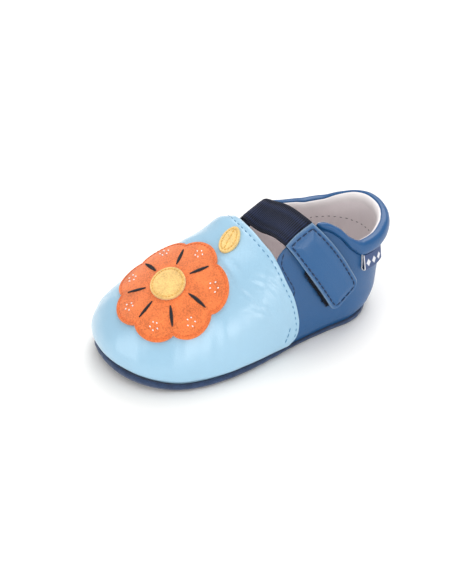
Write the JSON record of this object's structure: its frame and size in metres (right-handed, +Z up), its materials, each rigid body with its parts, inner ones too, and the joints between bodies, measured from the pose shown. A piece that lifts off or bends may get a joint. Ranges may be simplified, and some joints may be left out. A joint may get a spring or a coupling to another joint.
{
  "type": "baby shoe",
  "caption": "Soft-sole leather baby shoe: hollow two-tone upper, lapped vamp with flower applique, padded collar, elastic strap with touch-fastening tab.",
  "frame": {"origin": "middle of the shoe's box on the floor it stands on", "axes": "+Y towards the heel and -Y towards the toe, +X towards the outer (lateral) side, +Z up"},
  "size_m": [0.0644, 0.1344, 0.0583],
  "materials": {
    "sole_suede": "navy suede",
    "sock_leather": "pale smooth leather",
    "quarter_leather": "mid-blue smooth leather, satin",
    "vamp_leather": "light-blue smooth leather, satin",
    "collar_leather": "mid-blue smooth leather over padding",
    "elastic_webbing": "ribbed navy elastic",
    "tab_leather": "mid-blue smooth leather, satin",
    "hook_patch": "dark hook-and-loop",
    "woven_tag": "plain woven tape",
    "petal_suede": "orange suede",
    "centre_suede": "yellow suede",
    "leaf_suede": "yellow suede"
  },
  "bodies": {
    "root": {"outsole": "sole_suede", "insole": "sock_leather", "upper": "quarter_leather", "vamp": "vamp_leather", "collar": "collar_leather", "strap_elastic": "elastic_webbing", "strap_tab": "tab_leather", "hook_patch": "hook_patch", "heel_label": "woven_tag", "flower_petals": "petal_suede", "flower_centre": "centre_suede", "leaf_patch": "leaf_suede"}
  },
  "joints": []
}
